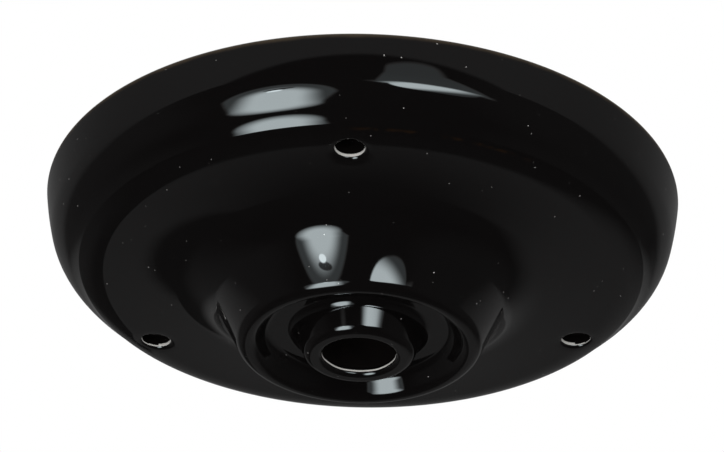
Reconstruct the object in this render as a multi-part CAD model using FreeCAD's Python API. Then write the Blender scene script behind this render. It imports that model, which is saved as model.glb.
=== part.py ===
# Electrical ceiling rose: a one-piece glazed porcelain body with a bell outlet for the cord, and
# the clamp, inserts and three-pole terminal block that it holds behind it. Sizes are millimetres.
# The origin is the centre of the mounting plane, +Z runs up into the ceiling and the outlet hangs
# towards -Z. Depths are measured down from the ceiling. A lean is the angle by which a surface
# faces below the horizontal: 0 is a plumb side, 90 faces straight down, 180 is a plumb bore wall.
import FreeCAD, Part
import math
import os

Vector = FreeCAD.Vector
up = Vector(0, 0, 1)
origin = Vector(0, 0, 0)

# Outside of the body, from the foot to the face
rose_diameter = 105.0
foot_edge_round = 0.5
side_top_lean = 6.0
side_low_lean = 13.0
side_radius = 49.0
shoulder_radius = 9.0
shoulder_lean = 52.0
cove_radius = 11.0
cove_lean = 40.0
crease_radius = 0.6
crease_lean = 61.0
dome_radius = 10.4
face_rim_lean = 86.0
face_foot_lean = 82.0

# Bell, lip and cup
bell_sweep_radius = 11.4
throat_lean = 43.0
throat_radius = 6.8
bell_top_lean = 31.0
bell_side_drop = 5.8
bell_lip_lean = 24.0
lip_outer_radius = 2.0
lip_inner_radius = 2.0
cup_depth = 3.2
cup_lean = 30.0
cup_fillet = 2.0
cup_floor_width = 2.2

# Nozzle and cord bore
nozzle_flat = 0.8
nozzle_proud = 1.8
nozzle_lean = 22.0
nozzle_root_radius = 1.8
nozzle_shoulder_radius = 1.6
bore_diameter = 12.2
bore_mouth_round = 0.8
bore_inner_round = 0.5

# Inside of the casting
shell_wall = 4.0
foot_width = 4.5
inside_corner_radius = 5.0
floor_corner_radius = 3.0

# Ceiling screws
screw_edge_distance = 11.5
screw_count = 3
screw_hole_diameter = 4.8
screw_mouth_round = 0.5
pillar_wall = 2.6
pillar_web = 5.0

# Terminal block, its barrels and screws
pole_count = 3
barrel_diameter = 5.0
barrel_recess = 1.0
wire_bore_diameter = 3.0
wire_screw_diameter = 2.8
wire_screw_head_diameter = 4.2
wire_screw_head_height = 1.6
wire_screw_head_gap = 0.6
wire_screw_length = 3.6
block_headroom = 2.6
block_cover = 3.5
block_floor = 1.3
block_side_wall = 0.8
block_end_wall = 1.5
block_rib = 0.45
block_edge_round = 0.8
block_screw_diameter = 2.5
block_screw_head_diameter = 4.0
block_screw_head_height = 1.5
block_screw_length = 14.5
block_post_wall = 1.4

# Cord clamp
clamp_spacing = 18.0
clamp_seat_depth = 12.0
clamp_gap = 3.6
saddle_radius = 3.2
clamp_bar_width = 6.5
clamp_bar_thickness = 1.8
clamp_bar_round = 0.4
clamp_screw_diameter = 3.0
clamp_screw_head_diameter = 5.4
clamp_screw_head_height = 2.0
clamp_screw_length = 6.0
clamp_post_wall = 1.2

# Cemented brass inserts, screw slots and fits
insert_wall = 0.8
tip_gap = 0.6
cord_room = 1.1
clamp_room = 3.2
cement_gap = 0.1
thread_gap = 0.05
running_gap = 0.2
slot_width = 0.7
slot_depth = 0.8
head_round_share = 0.45
embed = 1.6

# How near two places must be to count as one
closeness = 0.001

# Sizes that follow from the ones above
rose_radius = rose_diameter / 2
bore_radius = bore_diameter / 2
bore_inner_radius = bore_radius + bore_inner_round
screw_circle_radius = rose_radius - screw_edge_distance
screw_hole_radius = screw_hole_diameter / 2
pillar_radius = screw_hole_radius + pillar_wall
channel_radius = barrel_diameter / 2 + running_gap
well_radius = wire_screw_head_diameter / 2 + running_gap
wire_screw_spacing = wire_screw_head_diameter + wire_screw_head_gap
pole_pitch = 2 * (well_radius + block_rib) + block_screw_head_diameter
block_width = wire_screw_spacing + 2 * (well_radius + block_side_wall)
block_length = (pole_count - 1) * pole_pitch + 2 * (channel_radius + block_end_wall)
block_height = block_floor + 2 * channel_radius + block_cover - running_gap
block_seat_depth = block_headroom + block_height
block_offset = bore_inner_radius + cord_room + block_width / 2
barrel_length = block_width - 2 * barrel_recess
barrel_depth = block_seat_depth - block_floor - channel_radius
block_screw_tip = block_headroom + block_screw_length
block_insert_radius = block_screw_diameter / 2 + thread_gap + insert_wall
block_post_radius = block_insert_radius + cement_gap + block_post_wall
clamp_offset = bore_inner_radius + clamp_room + saddle_radius
clamp_screw_tip = clamp_seat_depth - clamp_bar_thickness + clamp_screw_length
clamp_insert_radius = clamp_screw_diameter / 2 + thread_gap + insert_wall
clamp_post_radius = clamp_insert_radius + cement_gap + clamp_post_wall


# A section line in the X-Z plane, walked from the foot inwards. It keeps its place and its lean.
class SectionLine:
    def __init__(self, radius, height, lean):
        self.place = Vector(radius, 0, height)
        self.lean = lean
        self.edges = []

    def facing(self, lean):
        angle = math.radians(lean)
        return Vector(math.cos(angle), 0, -math.sin(angle))

    def straight(self, length):
        angle = math.radians(self.lean)
        end = self.place + Vector(-math.sin(angle), 0, -math.cos(angle)) * length
        self.edges.append(Part.LineSegment(self.place, end).toShape())
        self.place = end

    def inwards_to(self, radius):
        self.straight(self.place.x - radius)

    # A rising lean rounds the casting over, and a falling lean hollows it.
    def turn(self, lean, radius):
        side = radius if lean > self.lean else -radius
        centre = self.place - self.facing(self.lean) * side
        middle = centre + self.facing((self.lean + lean) / 2) * side
        end = centre + self.facing(lean) * side
        self.edges.append(Part.Arc(self.place, middle, end).toShape())
        self.place = end
        self.lean = lean

    # From the face down to the crest of the lip, hollow all the way to the lip's own round.
    def bell(self):
        self.turn(throat_lean, bell_sweep_radius)
        self.turn(bell_top_lean, throat_radius)
        self.turn(bell_lip_lean, bell_side_radius)
        self.turn(90, lip_outer_radius)

    # From one level to another over two arcs and the slope between them.
    def step(self, rise, slope, first_radius, second_radius):
        down = self.lean + math.copysign(90 - slope, rise)
        level = self.lean
        length, reach = step_sizes(abs(rise), slope, first_radius, second_radius)
        self.turn(down, first_radius)
        self.straight(length)
        self.turn(level, second_radius)


# Depth and reach of a round, for each millimetre of its radius, between two leans.
def drop_between(first, second):
    return abs(math.sin(math.radians(second)) - math.sin(math.radians(first)))


def reach_between(first, second):
    return abs(math.cos(math.radians(second)) - math.cos(math.radians(first)))


# Length of the slope, and the whole reach inwards, of a step between two levels.
def step_sizes(rise, slope, first_radius, second_radius):
    angle = math.radians(slope)
    radii = first_radius + second_radius
    length = (rise - radii * (1 - math.sin(angle))) / math.cos(angle)
    return length, radii * math.cos(angle) + length * math.sin(angle)


def round_bar(radius, x, y, low, high):
    return Part.makeCylinder(radius, high - low, Vector(x, y, low), up)


# A bar with half-round ends, its length along X.
def oval_bar(spacing, radius, x, y, low, high):
    middle = Part.makeBox(spacing, 2 * radius, high - low, Vector(x - spacing / 2, y - radius, low))
    ends = [round_bar(radius, x + side * spacing / 2, y, low, high) for side in (-1, 1)]
    return middle.fuse(ends).removeSplitter()


def edges_at_height(shape, height):
    return [edge for edge in shape.Edges
            if max(abs(edge.BoundBox.ZMin - height), abs(edge.BoundBox.ZMax - height)) < closeness]


def upright_edges(shape):
    return [edge for edge in shape.Edges
            if edge.BoundBox.XLength + edge.BoundBox.YLength < closeness < edge.BoundBox.ZLength]


# The outside, from the rounded foot edge over side, shoulder, cove and crease to the face's rim.
def rim_line():
    line = SectionLine(rose_radius - foot_edge_round, 0, -90)
    line.turn(side_top_lean, foot_edge_round)
    line.turn(side_low_lean, side_radius)
    line.turn(shoulder_lean, shoulder_radius)
    line.turn(cove_lean, cove_radius)
    line.turn(crease_lean, crease_radius)
    line.turn(face_rim_lean, dome_radius)
    return line


# From the bore outwards: the nozzle's crest and foot, the cup, and the lip's crest.
nozzle_crest_radius = bore_radius + bore_mouth_round + nozzle_flat
nozzle_slope, nozzle_reach = step_sizes(cup_depth + nozzle_proud, nozzle_lean,
                                        nozzle_root_radius, nozzle_shoulder_radius)
cup_slope, cup_reach = step_sizes(cup_depth, cup_lean, lip_inner_radius, cup_fillet)
lip_radius = nozzle_crest_radius + nozzle_reach + cup_floor_width + cup_reach

# The bell's side is one long round, as large as its drop between its two leans makes it.
bell_side_radius = bell_side_drop / drop_between(bell_top_lean, bell_lip_lean)
throat_place = (lip_radius + throat_radius * reach_between(throat_lean, bell_top_lean)
                + bell_side_radius * reach_between(bell_top_lean, bell_lip_lean)
                + lip_outer_radius * reach_between(bell_lip_lean, 90))
bell_foot_radius = throat_place + bell_sweep_radius * reach_between(face_foot_lean, throat_lean)

# The face is hollowed very slightly, in one round from its rim to the bell's foot.
face_rim = rim_line().place
face_radius = (face_rim.x - bell_foot_radius) / reach_between(face_foot_lean, face_rim_lean)
face_depth = -face_rim.z
throat_depth = (face_depth + face_radius * drop_between(face_rim_lean, face_foot_lean)
                + bell_sweep_radius * drop_between(face_foot_lean, throat_lean))
lip_depth = (throat_depth + throat_radius * drop_between(throat_lean, bell_top_lean) + bell_side_drop
             + lip_outer_radius * drop_between(bell_lip_lean, 90))
cup_floor_depth = lip_depth - cup_depth
nozzle_depth = lip_depth + nozzle_proud
floor_depth = cup_floor_depth - shell_wall

# Inside, level behind the face, then a sweep that leaves the full wall where the throat begins.
inner_side_lean = (side_top_lean + side_low_lean) / 2
inner_face_depth = face_depth - shell_wall
inner_sweep_drop = throat_depth - shell_wall * drop_between(0, throat_lean) - inner_face_depth
inner_sweep_radius = inner_sweep_drop / drop_between(90, throat_lean)
inner_sweep_place = throat_place + (inner_sweep_radius - shell_wall) * reach_between(90, throat_lean)


def outer_line():
    line = rim_line()
    line.turn(face_foot_lean, face_radius)
    line.bell()
    line.step(cup_depth, cup_lean, lip_inner_radius, cup_fillet)
    line.inwards_to(nozzle_crest_radius + nozzle_reach)
    line.step(-cup_depth - nozzle_proud, nozzle_lean, nozzle_root_radius, nozzle_shoulder_radius)
    line.inwards_to(bore_radius + bore_mouth_round)
    line.turn(180, bore_mouth_round)
    line.straight(nozzle_depth - floor_depth - bore_mouth_round - bore_inner_round)
    line.turn(270, bore_inner_round)
    return line


def inner_line():
    line = SectionLine(rose_radius - foot_width, 0, inner_side_lean)
    corner_drop = inside_corner_radius * drop_between(inner_side_lean, 90)
    line.straight((inner_face_depth - corner_drop) / reach_between(90, inner_side_lean))
    line.turn(90, inside_corner_radius)
    line.inwards_to(inner_sweep_place)
    line.step(inner_face_depth - floor_depth, throat_lean, inner_sweep_radius, floor_corner_radius)
    line.inwards_to(bore_inner_radius)
    return line


def turned(edges):
    section = Part.Face(Part.Wire(Part.sortEdges(edges)[0]))
    return section.revolve(origin, up, 360)


def line_edge(first, second):
    return Part.LineSegment(Vector(first[0], 0, first[1]), Vector(second[0], 0, second[1])).toShape()


def body_shell():
    foot = line_edge((rose_radius - foot_width, 0), (rose_radius - foot_edge_round, 0))
    return turned(outer_line().edges + inner_line().edges + [foot])


# The outside filled up to the ceiling, which trims what is cast inside it.
def filled_outside():
    lid = line_edge((bore_inner_radius, 0), (rose_radius - foot_edge_round, 0))
    core = line_edge((bore_inner_radius, -floor_depth), (bore_inner_radius, 0))
    return turned(outer_line().edges + [core, lid])


def screw_places():
    angles = [math.radians(-90 + 360 * index / screw_count) for index in range(screw_count)]
    return [(screw_circle_radius * math.cos(angle), screw_circle_radius * math.sin(angle), angle)
            for angle in angles]


# A pillar round each ceiling screw, with a web that ties it to the side wall.
def screw_pillars():
    pillars = []
    bottom = -inner_face_depth - shell_wall / 2
    reach = rose_radius - foot_width / 2 - screw_circle_radius
    for x, y, angle in screw_places():
        web = Part.makeBox(reach, pillar_web, -bottom, Vector(0, -pillar_web / 2, bottom))
        web.rotate(origin, up, math.degrees(angle))
        web.translate(Vector(x, y, 0))
        pillars += [round_bar(pillar_radius, x, y, bottom, 0), web]
    return pillars


def screw_holes():
    return [round_bar(screw_hole_radius, x, y, -nozzle_depth, 0) for x, y, angle in screw_places()]


# The edges where the screw holes break out through the face; their mouths are rounded.
def mouth_edges(body):
    edges = []
    for x, y, angle in screw_places():
        edges += [edge for edge in body.Edges
                  if all(math.hypot(end.X - x, end.Y - y) < screw_hole_radius + closeness
                         and end.Z < -inner_face_depth for end in edge.Vertexes)]
    return edges


def insert_hole(insert_radius, x, y, tip_depth):
    return round_bar(insert_radius + cement_gap, x, y, -tip_depth - tip_gap, 0)


def block_screw_places():
    return [((index - (pole_count - 2) / 2) * pole_pitch, -block_offset) for index in range(pole_count - 1)]


def clamp_screw_places():
    return [(side * clamp_spacing / 2, clamp_offset) for side in (-1, 1)]


# Cast post that lifts the terminal block clear of the bell's slope.
def block_post():
    return oval_bar((pole_count - 2) * pole_pitch, block_post_radius, 0, -block_offset,
                    -floor_depth - embed, -block_seat_depth)


# Two posts for the clamp bar, and between them the round saddle that the cord is pressed on.
def clamp_posts():
    posts = [round_bar(clamp_post_radius, x, y, -floor_depth - embed, -clamp_seat_depth)
             for x, y in clamp_screw_places()]
    saddle_depth = clamp_seat_depth + clamp_gap + saddle_radius
    saddle = Part.makeCylinder(saddle_radius, clamp_spacing,
                               Vector(-clamp_spacing / 2, clamp_offset, -saddle_depth), Vector(1, 0, 0))
    stem = Part.makeBox(clamp_spacing, 2 * saddle_radius, floor_depth + embed - saddle_depth,
                        Vector(-clamp_spacing / 2, clamp_offset - saddle_radius, -floor_depth - embed))
    return posts + [saddle, stem]


def rose_body():
    outside = filled_outside()
    cast_on = [solid.common(outside) for solid in screw_pillars() + [block_post()] + clamp_posts()]
    body = body_shell().fuse(cast_on).removeSplitter().cut(screw_holes())
    body = body.makeFillet(screw_mouth_round, mouth_edges(body))
    holes = [insert_hole(block_insert_radius, x, y, block_screw_tip) for x, y in block_screw_places()]
    holes += [insert_hole(clamp_insert_radius, x, y, clamp_screw_tip) for x, y in clamp_screw_places()]
    return body.cut(holes)


def brass_insert(outer_radius, x, y, seat_depth, tip_depth):
    low = -tip_depth - tip_gap
    tube = round_bar(outer_radius, x, y, low, -seat_depth)
    return tube.cut(round_bar(outer_radius - insert_wall, x, y, low, -seat_depth))


# A slotted pan-head screw: its head stands on the seat and its shank reaches the tip.
def slotted_screw(head_diameter, head_height, shank_diameter, x, y, seat, tip):
    head = round_bar(head_diameter / 2, x, y, seat, seat + head_height)
    head = head.makeFillet(head_height * head_round_share, edges_at_height(head, seat + head_height))
    slot = Part.makeBox(head_diameter, slot_width, slot_depth,
                        Vector(x - head_diameter / 2, y - slot_width / 2, seat + head_height - slot_depth))
    return head.cut(slot).fuse(round_bar(shank_diameter / 2, x, y, tip, seat)).removeSplitter()


def pole_places():
    return [(index - (pole_count - 1) / 2) * pole_pitch for index in range(pole_count)]


def wire_screw_places():
    return [(x, -block_offset + side * wire_screw_spacing / 2) for x in pole_places() for side in (-1, 1)]


# Steatite block: a barrel channel per pole, a well for its screws, and holes for the block's own.
def terminal_block():
    low = -block_seat_depth
    block = Part.makeBox(block_length, block_width, block_height,
                         Vector(-block_length / 2, -block_offset - block_width / 2, low))
    block = block.makeFillet(block_edge_round, upright_edges(block))
    cuts = []
    for x in pole_places():
        start = Vector(x, -block_offset - block_width / 2, -barrel_depth)
        cuts.append(Part.makeCylinder(channel_radius, block_width, start, Vector(0, 1, 0)))
        well = oval_bar(wire_screw_spacing, well_radius, 0, 0, -barrel_depth, 0)
        well.rotate(origin, up, 90)
        well.translate(Vector(x, -block_offset, 0))
        cuts.append(well)
    for x, y in block_screw_places():
        cuts.append(round_bar(block_screw_diameter / 2 + running_gap, x, y, low, 0))
    return block.cut(cuts)


# Brass barrel: the wires' bore runs along it and the two wire screws come in from above.
def terminal_barrel(x):
    start = Vector(x, -block_offset - barrel_length / 2, -barrel_depth)
    barrel = Part.makeCylinder(barrel_diameter / 2, barrel_length, start, Vector(0, 1, 0))
    bore = Part.makeCylinder(wire_bore_diameter / 2, barrel_length, start, Vector(0, 1, 0))
    taps = [round_bar(wire_screw_diameter / 2 + thread_gap, x, -block_offset + side * wire_screw_spacing / 2,
                      -barrel_depth, 0) for side in (-1, 1)]
    return barrel.cut([bore] + taps)


# The wire screws are backed off, so their tips stop where the wires' bore begins.
def wire_screw(x, y):
    tip = -barrel_depth + wire_bore_diameter / 2
    return slotted_screw(wire_screw_head_diameter, wire_screw_head_height, wire_screw_diameter,
                         x, y, tip + wire_screw_length, tip)


def block_screw(x, y):
    seat = -block_headroom
    return slotted_screw(block_screw_head_diameter, block_screw_head_height, block_screw_diameter,
                         x, y, seat, seat - block_screw_length)


def clamp_bar():
    low = -clamp_seat_depth
    bar = oval_bar(clamp_spacing, clamp_bar_width / 2, 0, clamp_offset, low, low + clamp_bar_thickness)
    rims = edges_at_height(bar, low) + edges_at_height(bar, low + clamp_bar_thickness)
    bar = bar.makeFillet(clamp_bar_round, rims)
    holes = [round_bar(clamp_screw_diameter / 2 + running_gap, x, y, low, 0) for x, y in clamp_screw_places()]
    return bar.cut(holes)


def clamp_screw(x, y):
    seat = clamp_bar_thickness - clamp_seat_depth
    return slotted_screw(clamp_screw_head_diameter, clamp_screw_head_height, clamp_screw_diameter,
                         x, y, seat, seat - clamp_screw_length)


def numbered(name, shapes):
    return {f"{name}_{index}": shape for index, shape in enumerate(shapes, 1)}


def all_parts():
    block_places = block_screw_places()
    clamp_places = clamp_screw_places()
    parts = {"rose_body": rose_body(), "terminal_block": terminal_block(), "clamp_bar": clamp_bar()}
    parts |= numbered("terminal_barrel", [terminal_barrel(x) for x in pole_places()])
    parts |= numbered("wire_screw", [wire_screw(x, y) for x, y in wire_screw_places()])
    parts |= numbered("block_screw", [block_screw(x, y) for x, y in block_places])
    parts |= numbered("block_insert", [brass_insert(block_insert_radius, x, y, block_seat_depth, block_screw_tip)
                                       for x, y in block_places])
    parts |= numbered("clamp_screw", [clamp_screw(x, y) for x, y in clamp_places])
    parts |= numbered("clamp_insert", [brass_insert(clamp_insert_radius, x, y, clamp_seat_depth, clamp_screw_tip)
                                       for x, y in clamp_places])
    return parts


os.makedirs("parts", exist_ok=True)
for name, shape in all_parts().items():
    shape.exportStep(f"parts/{name}.step")
    box = shape.BoundBox
    print(name, "solids", len(shape.Solids), "valid", shape.isValid(), "volume", round(shape.Volume, 1),
          "low", [round(value, 2) for value in (box.XMin, box.YMin, box.ZMin)],
          "high", [round(value, 2) for value in (box.XMax, box.YMax, box.ZMax)])
print("face depth", round(face_depth, 2), "face radius", round(face_radius, 1),
      "bell foot radius", round(bell_foot_radius, 2), "side round", round(bell_side_radius, 1),
      "lip radius", round(lip_radius, 2), "lip depth", round(lip_depth, 2),
      "floor depth", round(floor_depth, 2), "nozzle depth", round(nozzle_depth, 2),
      "inner sweep", round(inner_sweep_radius, 2), "from", round(inner_sweep_place, 2))
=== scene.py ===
# Black glazed porcelain ceiling rose, seen from below as it hangs. Sizes in the dictionaries are
# millimetres and degrees, the room's are metres, and mm turns millimetres into metres.
import bpy
import bmesh
import math
from mathutils import Matrix, Vector


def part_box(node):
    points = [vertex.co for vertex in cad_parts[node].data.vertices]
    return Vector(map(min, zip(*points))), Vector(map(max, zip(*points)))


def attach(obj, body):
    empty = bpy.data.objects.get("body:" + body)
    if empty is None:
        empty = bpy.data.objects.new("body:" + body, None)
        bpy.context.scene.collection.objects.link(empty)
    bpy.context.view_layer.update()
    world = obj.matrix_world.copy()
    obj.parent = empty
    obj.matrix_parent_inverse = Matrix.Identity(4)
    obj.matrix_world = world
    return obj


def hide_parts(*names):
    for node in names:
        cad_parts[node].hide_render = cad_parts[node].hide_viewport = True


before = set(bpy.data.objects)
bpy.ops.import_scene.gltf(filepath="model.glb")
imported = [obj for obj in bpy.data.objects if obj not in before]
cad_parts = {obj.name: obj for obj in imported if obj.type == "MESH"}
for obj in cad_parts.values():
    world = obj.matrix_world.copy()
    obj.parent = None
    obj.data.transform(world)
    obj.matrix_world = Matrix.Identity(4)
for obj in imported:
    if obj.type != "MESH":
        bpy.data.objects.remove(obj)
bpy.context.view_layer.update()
mm = 0.001
# the photo's camera, with the foot ring's centre in the photo's pixels
view = {
    "elevation": 30.7, "turn": 3.04, "roll": -1.364, "distance": 761.8, "pixelsPerMm": 5.999,
    "roseX": 362.47, "roseY": 204.75, "imageWidth": 724, "imageHeight": 452, "sensorWidth": 36.0,
    "clipEnd": 50,
}


# Small helpers

def addNode(tree, kind, inputs=None, **settings):
    node = tree.nodes.new(kind)
    for name, value in settings.items():
        setattr(node, name, value)
    for name, value in (inputs or {}).items():
        if isinstance(value, bpy.types.NodeSocket):
            tree.links.new(value, node.inputs[name])
        else:
            node.inputs[name].default_value = value
    return node


def mathNode(tree, operation, first, second=0.0, clamp=False):
    inputs = {0: first, 1: second}
    return addNode(tree, "ShaderNodeMath", inputs, operation=operation, use_clamp=clamp).outputs[0]


def plus(tree, first, second):
    return mathNode(tree, "ADD", first, second)


def minus(tree, first, second):
    return mathNode(tree, "SUBTRACT", first, second)


def times(tree, first, second):
    return mathNode(tree, "MULTIPLY", first, second)


def over(tree, first, second, clamp=False):
    return mathNode(tree, "DIVIDE", first, second, clamp)


def larger(tree, first, second):
    return mathNode(tree, "MAXIMUM", first, second)


def vectorNode(tree, operation, first, second):
    return addNode(tree, "ShaderNodeVectorMath", {0: first, 1: second}, operation=operation).outputs


def splitAxes(tree, place):
    axes = addNode(tree, "ShaderNodeSeparateXYZ", {"Vector": place}).outputs
    return axes["X"], axes["Y"], axes["Z"]


def smoothRange(tree, value, low, high, toLow=0.0, toHigh=1.0):
    node = addNode(tree, "ShaderNodeMapRange", {"Value": value, "From Min": low, "From Max": high,
                                                "To Min": toLow, "To Max": toHigh},
                   interpolation_type="SMOOTHSTEP")
    return node.outputs["Result"]


def between(tree, value, low, high, soft):
    rising = smoothRange(tree, value, low - soft, low + soft)
    falling = smoothRange(tree, value, high - soft, high + soft, 1.0, 0.0)
    return times(tree, rising, falling)


def mixValue(tree, factor, first, second):
    inputs = {"Factor": factor, 2: first, 3: second}
    return addNode(tree, "ShaderNodeMix", inputs, data_type="FLOAT").outputs[0]


def mixColour(tree, factor, first, second):
    inputs = {"Factor": factor, 6: first, 7: second}
    return addNode(tree, "ShaderNodeMix", inputs, data_type="RGBA").outputs[2]


def noiseAt(tree, place, scale, detail=2.0, roughness=0.5):
    node = addNode(tree, "ShaderNodeTexNoise", {"Vector": place, "Scale": scale, "Detail": detail,
                                                "Roughness": roughness})
    return node.outputs["Fac"]


def newMaterial(name):
    material = bpy.data.materials.new(name)
    material.use_nodes = True
    material.node_tree.nodes.clear()
    return material, material.node_tree


def objectPlace(tree):
    return addNode(tree, "ShaderNodeTexCoord").outputs["Object"]


def finishMaterial(tree, shader):
    addNode(tree, "ShaderNodeOutputMaterial", {"Surface": shader})


def linkObject(name, data):
    thing = bpy.data.objects.new(name, data)
    bpy.context.scene.collection.objects.link(thing)
    return thing


# Porcelain body: the section is walked from the foot inwards, as it is in the mould

rose = {
    "radius": 52.5, "footEdgeRound": 0.5, "footGlaze": 0.4,
    "sideTopLean": 6.0, "sideLowLean": 13.0, "sideRound": 49.0,
    "shoulderRadius": 9.0, "shoulderLean": 52.0, "coveRadius": 11.0, "coveLean": 40.0,
    "creaseRadius": 0.6, "creaseLean": 61.0, "domeRadius": 10.4, "faceRimLean": 86.0, "faceFootLean": 82.0,
    "sweepRadius": 11.4, "throatLean": 43.0, "throatRadius": 4.4, "bellTopLean": 31.0,
    "bellSideDrop": 6.191, "lipLean": 24.0, "lipOuterRadius": 2.0, "lipInnerRadius": 2.0,
    "cupDepth": 3.2, "cupLean": 30.0, "cupFillet": 2.0, "cupFloorWidth": 2.2,
    "nozzleFlat": 0.8, "nozzleProud": 1.8, "nozzleLean": 22.0, "nozzleRootRadius": 1.8,
    "nozzleShoulderRadius": 1.6, "boreRadius": 6.1, "boreMouthRound": 0.8, "boreInnerRound": 0.5,
    "wall": 4.0, "footWidth": 4.5, "insideCorner": 5.0, "floorCorner": 3.0,
    "columns": 288, "arcStep": 4.0, "longestRow": 1.1, "sharpAngle": 38.0, "slack": 0.01,
}
# window: the patch of the face's grid that gives way to the rings round a hole
screwHole = {
    "edgeDistance": 11.5, "count": 3, "radius": 2.4, "mouthRound": 0.5, "blindDepth": 3.0,
    "blindOverlap": 0.7, "dipDepth": 0.07, "dipReach": 1.5, "wornDepth": 0.7, "slopeStep": 0.1,
    "windowColumns": 7, "windowIn": 36.2, "windowOut": 46.0, "windowLean": 60.0, "rings": 9, "roundSteps": 6,
    "pillarWall": 2.6, "pillarEmbed": 1.4, "webWidth": 5.0, "webTopInset": 2.4, "webBendInset": 3.6,
    "webBendDepth": 6.5, "webFootInset": 6.0, "webFootEmbed": 0.4,
}


class Section:
    def __init__(self, radius, height, lean):
        self.radius = radius
        self.height = height
        self.lean = lean
        self.rows = [(radius, height, lean)]

    def straight(self, length):
        count = max(1, math.ceil(length / rose["longestRow"]))
        angle = math.radians(self.lean)
        for _ in range(count):
            self.radius -= math.sin(angle) * length / count
            self.height -= math.cos(angle) * length / count
            self.rows.append((self.radius, self.height, self.lean))

    def inwardsTo(self, radius):
        self.straight(self.radius - radius)

    # a rising lean rounds over, a falling lean hollows
    def turn(self, lean, radius):
        side = radius if lean > self.lean else -radius
        sweep = abs(lean - self.lean)
        arc = math.radians(sweep) * radius
        count = max(2, math.ceil(sweep / rose["arcStep"]), math.ceil(arc / rose["longestRow"]))
        start = math.radians(self.lean)
        middleRadius = self.radius - math.cos(start) * side
        middleHeight = self.height + math.sin(start) * side
        first = self.lean
        for step in range(1, count + 1):
            self.lean = first + (lean - first) * step / count
            angle = math.radians(self.lean)
            self.radius = middleRadius + math.cos(angle) * side
            self.height = middleHeight - math.sin(angle) * side
            self.rows.append((self.radius, self.height, self.lean))

    # a slope up or down to another level, rounded at both ends
    def step(self, rise, slope, firstRadius, secondRadius):
        level = self.lean
        length = stepSizes(abs(rise), slope, firstRadius, secondRadius)[0]
        self.turn(level + math.copysign(90 - slope, rise), firstRadius)
        self.straight(length)
        self.turn(level, secondRadius)


# A step's straight length and its whole reach
def stepSizes(rise, slope, firstRadius, secondRadius):
    angle = math.radians(slope)
    radii = firstRadius + secondRadius
    length = (rise - radii * (1 - math.sin(angle))) / math.cos(angle)
    return length, radii * math.cos(angle) + length * math.sin(angle)


def sineBetween(first, second):
    return abs(math.sin(math.radians(first)) - math.sin(math.radians(second)))


def cosineBetween(first, second):
    return abs(math.cos(math.radians(first)) - math.cos(math.radians(second)))


# The glazed side; depths and places that other pieces need are kept in rose
def outerRows():
    r = rose
    line = Section(r["radius"] - r["footEdgeRound"], 0, -90)
    line.turn(r["sideTopLean"], r["footEdgeRound"])
    line.turn(r["sideLowLean"], r["sideRound"])
    line.turn(r["shoulderLean"], r["shoulderRadius"])
    line.turn(r["coveLean"], r["coveRadius"])
    line.turn(r["creaseLean"], r["creaseRadius"])
    line.turn(r["faceRimLean"], r["domeRadius"])
    r["faceDepth"] = -line.height
    sideRadius = r["bellSideDrop"] / sineBetween(r["bellTopLean"], r["lipLean"])
    crest = r["boreRadius"] + r["boreMouthRound"] + r["nozzleFlat"]
    nozzleHeight = r["cupDepth"] + r["nozzleProud"]
    nozzleReach = stepSizes(nozzleHeight, r["nozzleLean"], r["nozzleRootRadius"],
                            r["nozzleShoulderRadius"])[1]
    cupReach = stepSizes(r["cupDepth"], r["cupLean"], r["lipInnerRadius"], r["cupFillet"])[1]
    lip = crest + nozzleReach + r["cupFloorWidth"] + cupReach
    bell = Section(0, 0, r["faceFootLean"])
    bellTurns(bell, sideRadius)
    foot = lip - bell.radius
    line.turn(r["faceFootLean"], (line.radius - foot) / cosineBetween(r["faceFootLean"], r["faceRimLean"]))
    r["throatPlace"], r["throatDepth"] = bellTurns(line, sideRadius)
    r["lipDepth"] = -line.height
    line.step(r["cupDepth"], r["cupLean"], r["lipInnerRadius"], r["cupFillet"])
    line.inwardsTo(crest + nozzleReach)
    line.step(-nozzleHeight, r["nozzleLean"], r["nozzleRootRadius"], r["nozzleShoulderRadius"])
    line.inwardsTo(r["boreRadius"] + r["boreMouthRound"])
    line.turn(180, r["boreMouthRound"])
    r["boreMouth"] = line.height
    r["floorDepth"] = r["lipDepth"] - r["cupDepth"] - r["wall"]
    line.straight(screwHole["wornDepth"])
    line.straight(-line.height - r["floorDepth"] - r["boreInnerRound"])
    line.turn(270, r["boreInnerRound"])
    return line.rows


# From the face to the lip; gives the throat's radius and depth
def bellTurns(line, sideRadius):
    line.turn(rose["throatLean"], rose["sweepRadius"])
    throat = (line.radius, -line.height)
    line.turn(rose["bellTopLean"], rose["throatRadius"])
    line.turn(rose["lipLean"], sideRadius)
    line.turn(90, rose["lipOuterRadius"])
    return throat


# The bare side, one wall behind the face and the floor of the cup
def innerRows():
    r = rose
    innerFace = r["faceDepth"] - r["wall"]
    sideLean = (r["sideTopLean"] + r["sideLowLean"]) / 2
    corner = r["insideCorner"] * (1 - math.sin(math.radians(sideLean)))
    line = Section(r["radius"] - r["footWidth"], 0, sideLean)
    line.straight((innerFace - corner) / math.cos(math.radians(sideLean)))
    line.turn(90, r["insideCorner"])
    throat = math.radians(r["throatLean"])
    drop = r["throatDepth"] - r["wall"] * math.sin(throat) - innerFace
    sweep = drop / (1 - math.sin(throat))
    line.inwardsTo(r["throatPlace"] + (sweep - r["wall"]) * math.cos(throat))
    line.step(innerFace - r["floorDepth"], r["throatLean"], sweep, r["floorCorner"])
    line.inwardsTo(r["boreRadius"] + r["boreInnerRound"])
    return line.rows


# Radius, height and lean of a section where it crosses a radius
def rowAt(rows, radius):
    for outer, inner in zip(rows, rows[1:]):
        if inner[0] <= radius <= outer[0]:
            share = (radius - inner[0]) / max(outer[0] - inner[0], 1e-9)
            return [low + (high - low) * share for low, high in zip(inner, outer)]
    return rows[-1]


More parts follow.
